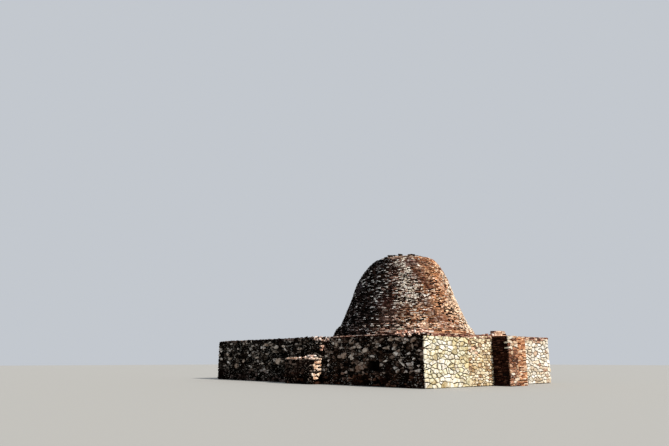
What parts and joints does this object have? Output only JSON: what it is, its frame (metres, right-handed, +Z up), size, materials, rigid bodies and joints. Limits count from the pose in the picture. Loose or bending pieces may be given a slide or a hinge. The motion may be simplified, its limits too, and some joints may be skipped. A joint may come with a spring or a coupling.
{
  "type": "ruined brick stupa",
  "caption": "Ruined bell-shaped brick stupa on stepped base rings, standing on a rubble-walled terrace with brick coping, a projecting landing block and a low broken block.",
  "frame": {"origin": "on the dome's axis, in the plane of the foot of the terrace walls", "axes": "+Z up along the dome's axis; -Y is the long front of the terrace, +X the short side with the landing block"},
  "size_m": [23.74, 14.05, 9.025],
  "materials": {
    "rubble_dark": "dark weathered rubble in earth mortar",
    "rubble_pale": "pale cream rubble in earth mortar",
    "rubble_tan": "small yellowish rubble in earth mortar",
    "brick": "weathered red fired brick",
    "brick_pale": "sun-bleached salmon fired brick",
    "brick_dark": "dark weathered fired brick with lichen",
    "earth_fill": "rubble and earth fill"
  },
  "bodies": {
    "root": {"terrace_fill": "earth_fill", "wall_front_right": "rubble_dark", "wall_front_left": "rubble_dark", "wall_right_near": "rubble_pale", "wall_right_far": "rubble_tan", "wall_back": "rubble_tan", "wall_left_end": "rubble_dark", "coping_front": "brick", "coping_right_near": "brick_pale", "coping_right_middle": "brick_pale", "coping_right_far": "brick_pale", "coping_back": "brick", "coping_left_end": "brick", "paving_right": "brick", "paving_left": "brick_pale", "tier_front": "brick", "tier_right": "brick_pale", "tier_block": "rubble_pale", "tier_stub": "brick_pale", "landing_stone": "brick_dark", "landing_brick": "brick_pale", "low_block": "rubble_dark", "low_block_course": "brick", "low_block_stub": "brick_pale", "ring_lower": "brick", "ring_upper": "brick", "dome": "brick_dark", "crown": "brick_dark", "crown_remains_left": "brick_dark", "crown_remains_middle": "brick_dark", "crown_remains_right": "brick_dark"}
  },
  "joints": []
}
